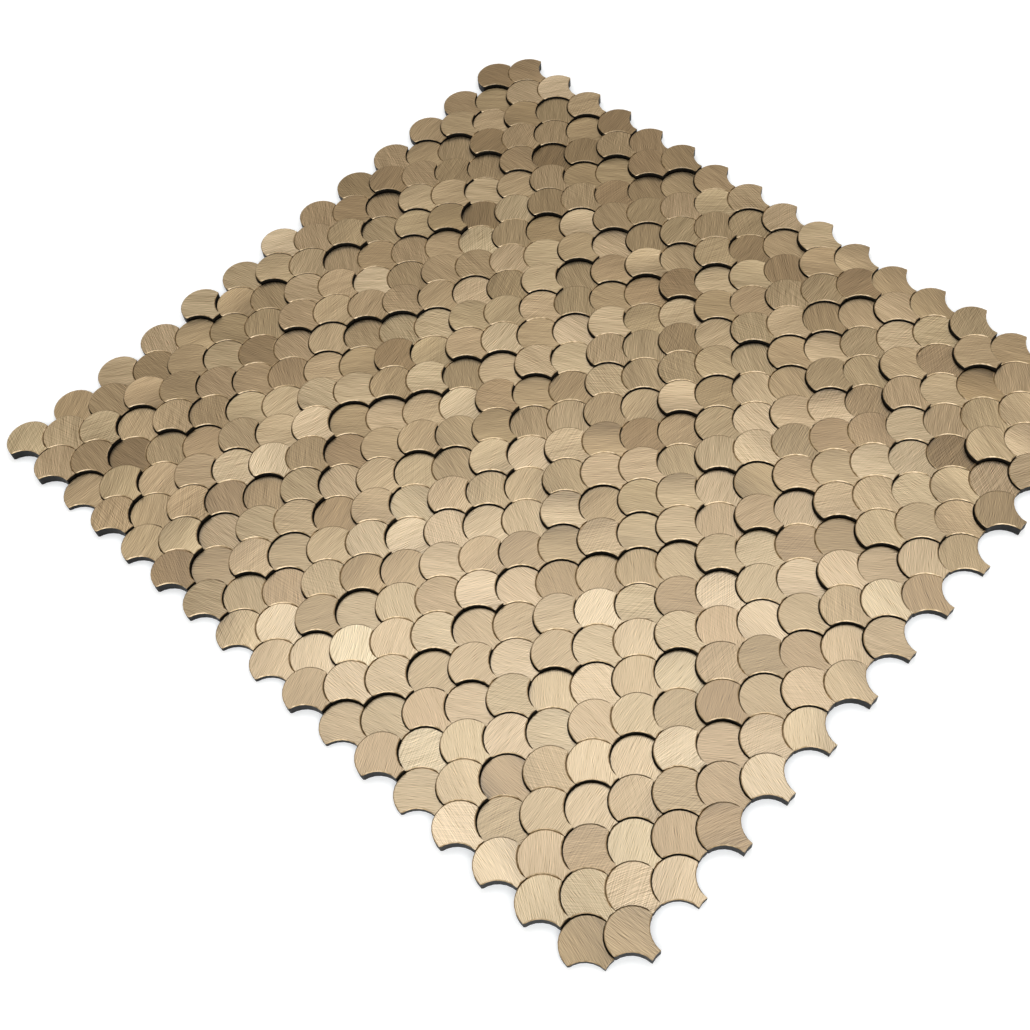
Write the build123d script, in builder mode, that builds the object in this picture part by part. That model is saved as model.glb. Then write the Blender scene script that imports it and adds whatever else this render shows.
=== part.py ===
from build123d import *
import os
import random

# Outline of one scale, measured to the joint lines that it shares with its neighbours
CROWN_RADIUS = 8.9
NECK_WIDTH = 4.2
ROW_PITCH = 9.0
JOINT_GAP = 0.1

# Sheet: every second row stands half a pitch to the right
ROWS = 34
SCALES_PER_ROW = 13

# Chips are punched from panels of three thicknesses and laid in a random mix
THIN_CHIP = 2.0
MIDDLE_CHIP = 3.0
THICK_CHIP = 4.0
MIX_WEIGHTS = (3, 2, 3)
MIX_SEED = 118

# Adhesive film and its peel-off liner, trimmed back from the scalloped border
LINER_THICKNESS = 0.15
FILM_THICKNESS = 0.4
BORDER_INSET = 0.6

COLUMN_PITCH = 2 * CROWN_RADIUS + NECK_WIDTH
FILM_BASE = LINER_THICKNESS
CHIP_BASE = LINER_THICKNESS + FILM_THICKNESS


def scale_face(clearance):
    """One scale drawn in from its joint lines: round crown towards +Y, bitten flanks, blunt tail."""
    with BuildSketch() as scale:
        Circle(CROWN_RADIUS - clearance)
        with Locations((0, -ROW_PITCH)):
            Rectangle(COLUMN_PITCH / 2, 2 * ROW_PITCH)
        # The crowns of the next two rows bite the flanks and the end of the tail
        left_flank = (-COLUMN_PITCH / 2, -ROW_PITCH)
        right_flank = (COLUMN_PITCH / 2, -ROW_PITCH)
        tail_end = (0, -2 * ROW_PITCH)
        with Locations(left_flank, right_flank, tail_end):
            Circle(CROWN_RADIUS + clearance, mode=Mode.SUBTRACT)
    return scale.sketch


chip_face = scale_face(JOINT_GAP / 2)
film_scale = scale_face(BORDER_INSET)

# The first row's crowns and the last row's tails set the length, and the sheet is centred on the origin
crown_reach = chip_face.bounding_box().max.Y
tail_reach = -chip_face.bounding_box().min.Y
first_row_y = ((ROWS - 1) * ROW_PITCH + tail_reach - crown_reach) / 2
first_column_x = -(SCALES_PER_ROW - 0.5) * COLUMN_PITCH / 2


def scale_centre(row, column):
    """Centre of a scale's crown, also for the rows just outside the sheet."""
    half_step = (row % 2) * COLUMN_PITCH / 2
    return (first_column_x + column * COLUMN_PITCH + half_step, first_row_y - row * ROW_PITCH)


def row_centres(row):
    return [scale_centre(row, column) for column in range(SCALES_PER_ROW)]


def border_outline():
    """Outline of the film: the sheet's scalloped border, drawn in by the border inset."""
    half_neck = NECK_WIDTH / 2 - BORDER_INSET
    left_x = scale_centre(0, 0)[0] - half_neck
    right_x = scale_centre(1, SCALES_PER_ROW - 1)[0] + half_neck
    top_y = first_row_y - ROW_PITCH / 2
    bottom_y = first_row_y - (ROWS + 1) * ROW_PITCH + CROWN_RADIUS + BORDER_INSET
    left_scales = [scale_centre(row, 0) for row in range(0, ROWS, 2)]
    right_scales = [scale_centre(row, SCALES_PER_ROW - 1) for row in range(1, ROWS, 2)]
    with BuildSketch() as outline:
        with Locations(((left_x + right_x) / 2, (top_y + bottom_y) / 2)):
            Rectangle(right_x - left_x, top_y - bottom_y)
        with Locations(*row_centres(0), *row_centres(1)):
            Circle(CROWN_RADIUS - BORDER_INSET)
        with Locations(*left_scales, *right_scales):
            add(film_scale)
        # Crowns that would follow beside the first rows and after the last row leave their notches
        beside_first_rows = (scale_centre(1, -1), scale_centre(2, SCALES_PER_ROW))
        with Locations(*beside_first_rows, *row_centres(ROWS)):
            Circle(CROWN_RADIUS + BORDER_INSET, mode=Mode.SUBTRACT)
    return outline.sketch


os.makedirs("parts", exist_ok=True)
film_outline = border_outline()

# Release liner: siliconised paper that covers the adhesive until the sheet is laid
with BuildPart() as release_liner:
    with BuildSketch():
        add(film_outline)
    extrude(amount=LINER_THICKNESS)

release_liner.part.label = "release_liner"
export_step(release_liner.part, "parts/release_liner.step")

# Adhesive film: one sheet under all the chips, which holds them at their spacing
with BuildPart() as adhesive_film:
    with BuildSketch(Plane.XY.offset(FILM_BASE)):
        add(film_outline)
    extrude(amount=FILM_THICKNESS)

adhesive_film.part.label = "adhesive_film"
export_step(adhesive_film.part, "parts/adhesive_film.step")

# Chips: one row at a time, each chip stuck to the film by its flat back
chip_thicknesses = (THIN_CHIP, MIDDLE_CHIP, THICK_CHIP)
dealer = random.Random(MIX_SEED)
for row in range(ROWS):
    dealt = dealer.choices(range(len(chip_thicknesses)), weights=MIX_WEIGHTS, k=SCALES_PER_ROW)
    with BuildPart() as chip_row:
        for kind, thickness in enumerate(chip_thicknesses):
            centres = [centre for centre, chosen in zip(row_centres(row), dealt) if chosen == kind]
            if centres:
                with BuildSketch(Plane.XY.offset(CHIP_BASE)):
                    with Locations(*centres):
                        add(chip_face, clean=False)
                extrude(amount=thickness, clean=False)

    chip_row.part.label = f"chip_row_{row + 1:02d}"
    export_step(chip_row.part, f"parts/{chip_row.part.label}.step")
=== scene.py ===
import math
import random

import bmesh
import bpy
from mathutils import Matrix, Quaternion, Vector


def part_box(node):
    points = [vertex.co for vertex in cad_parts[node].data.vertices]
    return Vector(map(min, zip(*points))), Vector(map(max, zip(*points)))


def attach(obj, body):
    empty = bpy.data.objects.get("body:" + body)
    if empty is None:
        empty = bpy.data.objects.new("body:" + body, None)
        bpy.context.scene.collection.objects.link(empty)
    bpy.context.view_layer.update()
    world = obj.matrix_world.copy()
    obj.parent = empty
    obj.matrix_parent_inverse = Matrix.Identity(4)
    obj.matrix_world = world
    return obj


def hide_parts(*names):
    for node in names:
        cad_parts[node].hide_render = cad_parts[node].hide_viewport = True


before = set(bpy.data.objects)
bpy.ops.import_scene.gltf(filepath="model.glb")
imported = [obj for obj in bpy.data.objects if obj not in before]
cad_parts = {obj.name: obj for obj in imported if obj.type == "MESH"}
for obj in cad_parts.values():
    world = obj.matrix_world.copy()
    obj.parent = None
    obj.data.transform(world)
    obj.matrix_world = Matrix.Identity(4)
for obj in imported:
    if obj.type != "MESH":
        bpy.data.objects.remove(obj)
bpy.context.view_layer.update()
scene = bpy.context.scene
scene.view_settings.view_transform = "Standard"


# Release liner
# A sheet of siliconised paper that covers the adhesive back until the tile is laid on its wall.
# It is trimmed to the scalloped border together with the film, and peels off by hand.
MM = 0.001
LINER_PAPER = (0.80, 0.77, 0.68, 1)
LINER_FIBRE = (0.68, 0.64, 0.54, 1)
FIBRES_PER_METRE = 2600.0
CLOUDS_PER_METRE = 45.0
MOTTLE_LEVELS = (0.12, 0.42)
COCKLE_HEIGHT = 0.4 * MM


def shader(owner, kind, inputs=None, **settings):
    """Adds a node to a material or the world: its options, and its inputs as values or sockets."""
    made = owner.node_tree.nodes.new("ShaderNode" + kind)
    for name, value in settings.items():
        setattr(made, name, value)
    for name, value in (inputs or {}).items():
        if isinstance(value, bpy.types.NodeSocket):
            owner.node_tree.links.new(value, made.inputs[name])
        else:
            made.inputs[name].default_value = value
    return made


def surface(name, **values):
    """A new material and its main shader, with the values that are the same all over."""
    material = bpy.data.materials.new(name)
    material.use_nodes = True
    principled = material.node_tree.nodes["Principled BSDF"]
    for socket, value in values.items():
        principled.inputs[socket.replace("_", " ")].default_value = value
    return material, principled


def two_tone(material, value, dark, pale, low, high):
    """A ramp from the dark colour at the low value to the pale one at the high value."""
    ramp = shader(material, "ValToRGB", {"Fac": value})
    ramp.color_ramp.elements[0].position = low
    ramp.color_ramp.elements[0].color = dark
    ramp.color_ramp.elements[1].position = high
    ramp.color_ramp.elements[1].color = pale
    return ramp.outputs["Color"]


def speckle(material, per_metre, detail):
    """Noise with so many grains in a metre."""
    place = shader(material, "TexCoord").outputs["Object"]
    noise = shader(material, "TexNoise", {"Vector": place, "Scale": per_metre, "Detail": detail})
    return noise.outputs["Fac"]


def release_paper():
    """Pale calendered paper: fine fibres in the colour, a slight cockle in the surface."""
    material, paper = surface("release_paper", Roughness=0.55)
    link = material.node_tree.links.new
    fibres = speckle(material, FIBRES_PER_METRE, 3.0)
    cloud = speckle(material, CLOUDS_PER_METRE, 2.0)
    mottle = shader(material, "Math", {0: fibres, 1: cloud}, operation="MULTIPLY").outputs[0]
    colour = two_tone(material, mottle, LINER_FIBRE, LINER_PAPER, *MOTTLE_LEVELS)
    link(colour, paper.inputs["Base Color"])
    cockle = shader(material, "Bump", {"Height": cloud, "Strength": 0.25, "Distance": COCKLE_HEIGHT})
    link(cockle.outputs["Normal"], paper.inputs["Normal"])
    return material


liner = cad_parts["release_liner"]
liner.data.materials.clear()
liner.data.materials.append(release_paper())


# Adhesive film
# One sheet of dark acrylic adhesive on a fibre mesh. Every chip is pressed onto it, and it sticks
# the tile to the wall once the liner is off. Only its thin edge shows, under the border chips.
FILM_GLUE = (0.030, 0.028, 0.026, 1)
FILM_THREAD = (0.075, 0.070, 0.064, 1)
THREADS_PER_METRE = 900.0
THREAD_LEVELS = (0.6, 1.0)
THREAD_HEIGHT = 0.1 * MM


def dark_adhesive():
    """Dark tacky film with the weave of its fibre mesh showing through."""
    material, glue = surface("dark_adhesive", Roughness=0.42)
    link = material.node_tree.links.new
    place = shader(material, "TexCoord").outputs["Object"]
    threads = {"Vector": place, "Scale": THREADS_PER_METRE, "Distortion": 0.6}
    warp = shader(material, "TexWave", threads, bands_direction="X").outputs["Fac"]
    weft = shader(material, "TexWave", threads, bands_direction="Y").outputs["Fac"]
    weave = shader(material, "Math", {0: warp, 1: weft}, operation="MAXIMUM").outputs[0]
    colour = two_tone(material, weave, FILM_GLUE, FILM_THREAD, *THREAD_LEVELS)
    link(colour, glue.inputs["Base Color"])
    relief = shader(material, "Bump", {"Height": weave, "Strength": 0.3, "Distance": THREAD_HEIGHT})
    link(relief.outputs["Normal"], glue.inputs["Normal"])
    return material


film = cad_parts["adhesive_film"]
film.data.materials.clear()
film.data.materials.append(dark_adhesive())


# Chips
# Fish scales punched from metal-faced panel with a black plastic core, in three thicknesses.
# The punch rolls the face over and bares the metal at its edge. Each chip is brushed by itself and
# laid in a jig at random, so neighbours differ in height, tone and brushing. The film holds them.
CHIPS_PER_ROW = 13
JOINT_GAP = 0.13 * MM
TAIL_GAP = 0.17 * MM
TAIL_REACH = 1.0 * MM
CORNER_ROUND = 0.5 * MM
SHARP_CORNER = math.radians(35)
ROLL_WIDTH = 0.32 * MM
ROLL_DEPTH = 0.20 * MM
WELD_REACH = 0.02 * MM
ARC_SIDES = 28
BLANK_THICKNESS = 2.0 * MM

# The tail starts at a share of the crown radius, and the face and the back are told apart by height
TAIL_START = 0.92
FACE_LEVEL = 0.99 * BLANK_THICKNESS
BACK_LEVEL = 0.1 * BLANK_THICKNESS

# The face points straight up, its rolled rim at a slant and the core's walls sideways
FACE_UPWARD, RIM_UPWARD = 0.99, 0.3
FACE_SLOT, RIM_SLOT, CORE_SLOT = 0, 1, 2

row_names = sorted(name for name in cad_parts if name.startswith("chip_row_"))
first_low, first_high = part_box(row_names[0])
second_low, second_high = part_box(row_names[1])
column_pitch = 2 * (second_low.x - first_low.x)
row_pitch = first_high.y - second_high.y
crown_radius = (first_high.x - first_low.x - (CHIPS_PER_ROW - 1) * column_pitch) / 2

# Strokes of the brush: turn in degrees, width and length in millimetres
MAIN_GROOVES = (0, 0.28, 5.0)
SECOND_GROOVES = (9, 0.23, 4.0)
CROSSING_GROOVES = (52, 0.33, 10.0)
WASH_STREAKS = (0, 1.8, 14.0)

# How strongly the strokes show in the relief, the gloss and the colour, where they are painted highlight
# and painted shade
SECOND_SHARE = 0.9
WASH_SHARE = 0.5
NOISE_MIDDLE = 0.5
SEED_STEP = 500.0
GROOVE_HEIGHT = 0.016
GROOVE_REACH = 0.2
DARK_STROKE_ROUGHNESS, PALE_STROKE_ROUGHNESS = 0.36, 0.48
# Painted highlight and shade of the strokes in red, green and blue, per unit of relief
STROKE_HIGHLIGHT_AND_SHADE = (0.84, 0.92, 1.10)
PEACH_GOLD = (0.438, 0.317, 0.185, 1)
OLIVE_GOLD = (0.398, 0.296, 0.164, 1)

# Places of a Mix node's colour sockets, which share their names with its other sockets
MIX_FIRST, MIX_SECOND, MIX_RESULT = 6, 7, 2


def brushed_gold():
    """Clear-lacquered champagne metal: strokes run along V of the chip's own map, in millimetres."""
    material, metal = surface("brushed_champagne_gold", Metallic=1.0, Anisotropic=0.6,
                              Coat_Weight=1.0, Coat_IOR=1.6, Coat_Roughness=0.3)
    link = material.node_tree.links.new
    across_strokes = shader(material, "Tangent", direction_type="UV_MAP", uv_map="brush")
    link(across_strokes.outputs["Tangent"], metal.inputs["Tangent"])

    def of_chip(name):
        """A value that each chip carries."""
        return shader(material, "Attribute", attribute_name=name).outputs["Fac"]

    def calc(operation, first, second):
        return shader(material, "Math", {0: first, 1: second}, operation=operation).outputs[0]

    def streaks(turn, width, length, aside=0):
        """Streaks in the strokes' own map, moved aside by so many of their widths."""
        turned = shader(material, "Mapping", {"Vector": arced, "Rotation": (0, 0, math.radians(turn)),
                                              "Scale": (width, length, 1)}, vector_type="TEXTURE")
        moved = shader(material, "VectorMath", {0: turned.outputs[0], 1: (aside, 0, 0)}, operation="ADD")
        noise = shader(material, "TexNoise", {"Vector": moved.outputs[0], "Scale": 1.0, "Detail": 0.0})
        return noise.outputs["Fac"]

    def grooves(turn, width, length):
        """Scratches about zero, whose pale and dark flanks become painted highlight and painted shade in
        the colour.
        """
        return calc("SUBTRACT", streaks(turn, width, length), streaks(turn, width, length, aside=1))

    brush_map = shader(material, "UVMap", uv_map="brush").outputs["UV"]
    flat = shader(material, "SeparateXYZ", {"Vector": brush_map})
    across, along = flat.outputs["X"], flat.outputs["Y"]
    # A stroke is a slight arc, and every chip has its own strokes
    arc = calc("MULTIPLY", calc("MULTIPLY", along, along), of_chip("bend"))
    own_layer = calc("MULTIPLY", of_chip("seed"), SEED_STEP)
    arced = shader(material, "CombineXYZ", {"X": calc("ADD", across, arc), "Y": along,
                                            "Z": own_layer}).outputs[0]
    main = grooves(*MAIN_GROOVES)
    second = calc("MULTIPLY", grooves(*SECOND_GROOVES), SECOND_SHARE)
    crossing = calc("MULTIPLY", grooves(*CROSSING_GROOVES), of_chip("crossed"))
    wash = calc("MULTIPLY", calc("SUBTRACT", streaks(*WASH_STREAKS), NOISE_MIDDLE), WASH_SHARE)
    relief = calc("ADD", calc("ADD", calc("ADD", main, second), crossing), wash)
    # The strokes are painted into the colour as shade in the grooves and highlight on their pale flanks,
    # the shade more so in the blue, so that it looks brown
    shade = shader(material, "VectorMath", {0: relief, 1: STROKE_HIGHLIGHT_AND_SHADE, 2: (1, 1, 1)},
                   operation="MULTIPLY_ADD")
    tone = shader(material, "Attribute", attribute_name="tone").outputs["Vector"]
    shade = shader(material, "VectorMath", {0: shade.outputs[0], 1: tone}, operation="MULTIPLY")
    tint = shader(material, "Mix", {"Factor": of_chip("warmth"), MIX_FIRST: OLIVE_GOLD,
                                    MIX_SECOND: PEACH_GOLD}, data_type="RGBA").outputs[MIX_RESULT]
    gold = shader(material, "VectorMath", {0: tint, 1: shade.outputs[0]}, operation="MULTIPLY")
    link(gold.outputs[0], metal.inputs["Base Color"])
    gloss = shader(material, "MapRange", {"Value": relief, "From Min": -GROOVE_REACH,
                                          "From Max": GROOVE_REACH, "To Min": DARK_STROKE_ROUGHNESS,
                                          "To Max": PALE_STROKE_ROUGHNESS})
    link(gloss.outputs[0], metal.inputs["Roughness"])
    # The punch leaves the face slightly bowed across its strokes. Heights are in millimetres
    bow = calc("MULTIPLY", calc("MULTIPLY", across, across), of_chip("bow"))
    height = calc("ADD", calc("MULTIPLY", main, GROOVE_HEIGHT), bow)
    bumps = shader(material, "Bump", {"Height": height, "Distance": 1.0 * MM})
    link(bumps.outputs["Normal"], metal.inputs["Normal"])
    return material


BARE_RIM = (0.57, 0.44, 0.29, 1)
DULL_RIM = (0.36, 0.265, 0.15, 1)
SCUFFS_PER_METRE = 700.0
SCUFF_LEVELS = (0.35, 0.6)
DULL_ROUGHNESS, BARE_ROUGHNESS = 0.42, 0.28


def bare_rim():
    """Pale metal where the punch has drawn the coating thin, scuffed along the edge."""
    material, rim = surface("bare_metal_rim", Metallic=1.0)
    link = material.node_tree.links.new
    scuffs = speckle(material, SCUFFS_PER_METRE, 2.0)
    colour = two_tone(material, scuffs, DULL_RIM, BARE_RIM, *SCUFF_LEVELS)
    link(colour, rim.inputs["Base Color"])
    worn = shader(material, "MapRange", {"Value": scuffs, "To Min": DULL_ROUGHNESS,
                                         "To Max": BARE_ROUGHNESS})
    link(worn.outputs[0], rim.inputs["Roughness"])
    return material


CORE_BLACK = (0.006, 0.006, 0.006, 1)
TEARS_PER_METRE = 2500.0
TEAR_HEIGHT = 0.1 * MM


def panel_core():
    """Black filled plastic, torn slightly rough by the punch."""
    material, core = surface("black_panel_core", Base_Color=CORE_BLACK, Roughness=0.6,
                             Specular_IOR_Level=0.2)
    torn = speckle(material, TEARS_PER_METRE, 3.0)
    tear = shader(material, "Bump", {"Height": torn, "Strength": 0.4, "Distance": TEAR_HEIGHT})
    material.node_tree.links.new(tear.outputs["Normal"], core.inputs["Normal"])
    return material


def open_mesh(piece):
    """Opens a piece in edit mode with nothing selected, and returns its mesh for selecting by place."""
    bpy.context.view_layer.objects.active = piece
    bpy.ops.object.mode_set(mode="EDIT")
    bpy.ops.mesh.select_mode(type="EDGE")
    bpy.ops.mesh.select_all(action="DESELECT")
    return bmesh.from_edit_mesh(piece.data)


def select_between(mesh, low, high):
    """Selects the edges that lie wholly between two heights."""
    for edge in mesh.edges:
        edge.select_set(all(low < vert.co.z < high for vert in edge.verts))


def punched_chip():
    """The thinnest chip: crown towards +Y, crown centre at the origin, back on the ground."""
    bpy.ops.object.select_all(action="DESELECT")
    bpy.ops.mesh.primitive_cylinder_add(vertices=ARC_SIDES, radius=crown_radius, depth=BLANK_THICKNESS,
                                        location=(0, 0, BLANK_THICKNESS / 2))
    chip = bpy.context.object
    bpy.ops.object.transform_apply(location=True, rotation=True, scale=True)
    # The tail reaches a little further than the round of the crown
    mesh = open_mesh(chip)
    for edge in mesh.edges:
        edge.select_set(all(vert.co.y < -TAIL_START * crown_radius for vert in edge.verts))
    bpy.ops.transform.translate(value=(0, -TAIL_REACH, 0))
    bpy.ops.object.mode_set(mode="OBJECT")
    # The crowns of the next rows bite the two flanks, and a little more freely the end of the tail
    half_pitch = column_pitch / 2
    left_flank = (-half_pitch, -row_pitch, JOINT_GAP)
    right_flank = (half_pitch, -row_pitch, JOINT_GAP)
    tail_end = (0, -2 * row_pitch, TAIL_GAP)
    for x, y, gap in (left_flank, right_flank, tail_end):
        bpy.ops.mesh.primitive_cylinder_add(vertices=ARC_SIDES, radius=crown_radius + gap,
                                            depth=4 * BLANK_THICKNESS, location=(x, y, 0))
        punch = bpy.context.object
        bpy.context.view_layer.objects.active = chip
        bpy.ops.object.modifier_add(type="BOOLEAN")
        bite = chip.modifiers[-1]
        bite.operation = "DIFFERENCE"
        bite.solver = "EXACT"
        bite.object = punch
        bpy.ops.object.modifier_apply(modifier=bite.name)
        bpy.data.objects.remove(punch)
    # Shoulders and tail corners are slightly round in plan
    mesh = open_mesh(chip)
    for edge in mesh.edges:
        upright = abs(edge.verts[0].co.z - edge.verts[1].co.z) > BLANK_THICKNESS / 2
        edge.select_set(upright and edge.calc_face_angle(0) > SHARP_CORNER)
    bpy.ops.mesh.bevel(offset=CORNER_ROUND, segments=1, affect="EDGES")
    bpy.ops.object.mode_set(mode="OBJECT")
    # The face rolls over at its edge
    mesh = open_mesh(chip)
    select_between(mesh, FACE_LEVEL, math.inf)
    bpy.ops.mesh.bevel(offset=ROLL_WIDTH, segments=1, affect="EDGES")
    bpy.ops.mesh.select_all(action="SELECT")
    bpy.ops.mesh.remove_doubles(threshold=WELD_REACH)
    bpy.ops.object.mode_set(mode="OBJECT")
    # The roll has a crisp edge on both sides, and is shallower than it is wide
    mesh = open_mesh(chip)
    select_between(mesh, FACE_LEVEL, math.inf)
    bpy.ops.mesh.mark_sharp()
    select_between(mesh, BACK_LEVEL, FACE_LEVEL)
    bpy.ops.mesh.mark_sharp()
    bpy.ops.transform.translate(value=(0, 0, ROLL_WIDTH - ROLL_DEPTH))
    bpy.ops.object.mode_set(mode="OBJECT")
    # What is below the roll is core
    for face in chip.data.polygons:
        face.material_index = CORE_SLOT
        if face.normal.z > RIM_UPWARD:
            face.material_index = FACE_SLOT if face.normal.z > FACE_UPWARD else RIM_SLOT
        face.use_smooth = True
    return chip


# How far chips differ from each other. Few of them have many crossing strokes
BRUSH_SEED = 5
TILT_SPREAD = 0.008
TONE_SPREAD = 0.163
TONE_POWERS = (0.8, 1.0, 1.35)
BEND_LIMIT = 0.007
CROSSED_LIMIT, CROSSED_POWER = 0.85, 3
BOW_SPREAD = 0.005


def lay_chip(pattern, x, y, base, top, draw):
    """One chip on the film at its thickness, with its own brushing, tone and slight tilt."""
    chip = pattern.copy()
    chip.data = pattern.data.copy()
    scene.collection.objects.link(chip)
    mesh = chip.data
    turn = draw.uniform(0, math.pi)
    tilt_x = draw.gauss(0, TILT_SPREAD)
    tilt_y = draw.gauss(0, TILT_SPREAD)
    tone = draw.gauss(1.0, TONE_SPREAD)
    carried = {"seed": draw.random(), "warmth": draw.random(),
               "bend": draw.uniform(-BEND_LIMIT, BEND_LIMIT),
               "crossed": CROSSED_LIMIT * draw.random() ** CROSSED_POWER,
               "bow": draw.gauss(0, BOW_SPREAD)}
    brush = mesh.uv_layers.new(name="brush")
    for loop in mesh.loops:
        spot = mesh.vertices[loop.vertex_index].co / MM
        brush.uv[loop.index].vector = (spot.x * math.cos(turn) + spot.y * math.sin(turn),
                                       spot.y * math.cos(turn) - spot.x * math.sin(turn))
    for vert in mesh.vertices:
        lift = 0
        if vert.co.z > BLANK_THICKNESS / 2:
            lift = top - base - BLANK_THICKNESS + tilt_x * vert.co.x + tilt_y * vert.co.y
        vert.co += Vector((x, y, base + lift))
    points = len(mesh.vertices)
    for name, value in carried.items():
        mesh.attributes.new(name, "FLOAT", "POINT").data.foreach_set("value", [value] * points)
    shades = [tone ** power for power in TONE_POWERS]
    mesh.attributes.new("tone", "FLOAT_VECTOR", "POINT").data.foreach_set("vector", shades * points)
    return chip


pattern = punched_chip()
pattern.data.materials.append(brushed_gold())
pattern.data.materials.append(bare_rim())
pattern.data.materials.append(panel_core())
film_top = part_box("adhesive_film")[1].z
draw = random.Random(BRUSH_SEED)
for row_name in row_names:
    low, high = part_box(row_name)
    corners = [vert.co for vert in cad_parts[row_name].data.vertices]
    chips = []
    for column in range(CHIPS_PER_ROW):
        x = low.x + crown_radius + column * column_pitch
        top = max(corner.z for corner in corners if abs(corner.x - x) < crown_radius)
        chips.append(lay_chip(pattern, x, high.y - crown_radius, film_top, top, draw))
    bpy.ops.object.select_all(action="DESELECT")
    for chip in chips:
        chip.select_set(True)
    row = chips[0]
    bpy.context.view_layer.objects.active = row
    bpy.ops.object.join()
    bpy.ops.object.modifier_add(type="WEIGHTED_NORMAL")
    row.modifiers[-1].keep_sharp = True
    bpy.ops.object.modifier_apply(modifier=row.modifiers[-1].name)
    row.name = row_name.replace("chip_row", "brushed_chips")
    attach(row, "root")
    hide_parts(row_name)
bpy.data.objects.remove(pattern)


# Studio
# A plain pale floor, an oblong soft lamp high above the tile and a little beyond it, a wide one
# behind the camera, and a pale room with a dark ceiling and a darker wall beyond the tile. The
# camera stands where the photograph was taken.
FLOOR_SPAN = 8.0
FLOOR_DROP = 0.05 * MM
FLOOR_PALE = (0.86, 0.86, 0.86, 1)
FLOOR_TOP_UP = 0.29
FLOOR_GLOW = (0.95, 1.0, 1.08, 1)


def pale_floor():
    """Matt pale floor. Seen directly or in a reflection it is topped up to white, shadows stay."""
    material, board = surface("pale_floor", Base_Color=FLOOR_PALE, Roughness=1.0, Specular_IOR_Level=0.0,
                              Emission_Color=FLOOR_GLOW)
    rays = shader(material, "LightPath").outputs
    seen = rays["Is Camera Ray"]
    for way in ("Is Glossy Ray", "Is Transmission Ray"):
        seen = shader(material, "Math", {0: seen, 1: rays[way]}, operation="MAXIMUM").outputs[0]
    top_up = shader(material, "Math", {0: seen, 1: FLOOR_TOP_UP}, operation="MULTIPLY").outputs[0]
    material.node_tree.links.new(top_up, board.inputs["Emission Strength"])
    return material


bpy.ops.object.select_all(action="DESELECT")
bpy.ops.mesh.primitive_plane_add(size=FLOOR_SPAN, location=(0, 0, -FLOOR_DROP))
floor = bpy.context.object
floor.name = "floor"
floor.data.materials.append(pale_floor())

MAIN_PLACE = Vector((0.27, 0.26, 1.17))
MAIN_SPAN = (1.00, 0.55)
MAIN_WATTS = 4.6
FILL_PLACE = Vector((-0.42, -0.46, 0.92))
FILL_SPAN = (1.5, 0.5)
FILL_WATTS = 6.2
LAMP_COLOUR = (0.95, 1.0, 1.05)


def soft_lamp(name, place, span, watts):
    """A lamp of that width and height that faces the middle of the tile."""
    towards_tile = (-place).to_track_quat("-Z", "Y").to_euler()
    bpy.ops.object.light_add(type="AREA", location=place, rotation=towards_tile)
    lamp = bpy.context.object
    lamp.name = name
    lamp.data.shape = "RECTANGLE"
    lamp.data.size, lamp.data.size_y = span
    lamp.data.energy = watts
    lamp.data.color = LAMP_COLOUR


soft_lamp("main_lamp", MAIN_PLACE, MAIN_SPAN, MAIN_WATTS)
soft_lamp("fill_lamp", FILL_PLACE, FILL_SPAN, FILL_WATTS)

# Heights in the room go from 0 at the horizon to 1 overhead. The far wall's edges go from 0 for a
# direction past the side of the tile to 1 for one straight at the wall
ROOM_COLOUR = (1.10, 1.0, 0.83, 1)
WALL_LEVEL, CEILING_LEVEL = 0.58, 0.12
CEILING_HEIGHTS = (0.8, 1.0)
FAR_WALL = (0.645, 0.764, 0.0)
FAR_WALL_EDGES = (0.45, 0.8)
FAR_WALL_HEIGHTS = (0.1, 0.66)
FAR_WALL_SHARE = 0.22


def eased(owner, value, low, high, at_low, at_high):
    """Goes smoothly from one level at the low value to another at the high value."""
    ends = {"Value": value, "From Min": low, "From Max": high, "To Min": at_low, "To Max": at_high}
    return shader(owner, "MapRange", ends, interpolation_type="SMOOTHSTEP").outputs[0]


room = bpy.data.worlds.new("room")
room.use_nodes = True
scene.world = room
direction = shader(room, "TexCoord").outputs["Generated"]
height = shader(room, "SeparateXYZ", {"Vector": direction}).outputs["Z"]
ahead = shader(room, "VectorMath", {0: direction, 1: FAR_WALL}, operation="DOT_PRODUCT")
plain_level = eased(room, height, *CEILING_HEIGHTS, WALL_LEVEL, CEILING_LEVEL)
on_far_side = eased(room, ahead.outputs["Value"], *FAR_WALL_EDGES, 0.0, 1.0)
low_down = eased(room, height, *FAR_WALL_HEIGHTS, 1.0, 0.0)
on_far_wall = shader(room, "Math", {0: on_far_side, 1: low_down}, operation="MULTIPLY").outputs[0]
share = shader(room, "MapRange", {"Value": on_far_wall, "To Min": 1.0, "To Max": FAR_WALL_SHARE})
level = shader(room, "Math", {0: plain_level, 1: share.outputs[0]}, operation="MULTIPLY").outputs[0]
background = room.node_tree.nodes["Background"]
background.inputs["Color"].default_value = ROOM_COLOUR
room.node_tree.links.new(level, background.inputs["Strength"])

CAMERA_PLACE = Vector((-213.08, -223.63, 421.97)) * MM
CAMERA_AIM = Vector((-40.09, -18.45, 3.55)) * MM
CAMERA_ROLL = math.radians(-8.01)
CAMERA_LENS = 47.96
SENSOR_WIDTH = 36
NEAR_CLIP = 0.01

bpy.ops.object.camera_add(location=CAMERA_PLACE)
camera = bpy.context.object
camera.data.lens = CAMERA_LENS
camera.data.sensor_width = SENSOR_WIDTH
camera.data.clip_start = NEAR_CLIP
towards_aim = (CAMERA_AIM - CAMERA_PLACE).to_track_quat("-Z", "Y")
camera.rotation_euler = (towards_aim @ Quaternion((0, 0, 1), CAMERA_ROLL)).to_euler()
scene.camera = camera
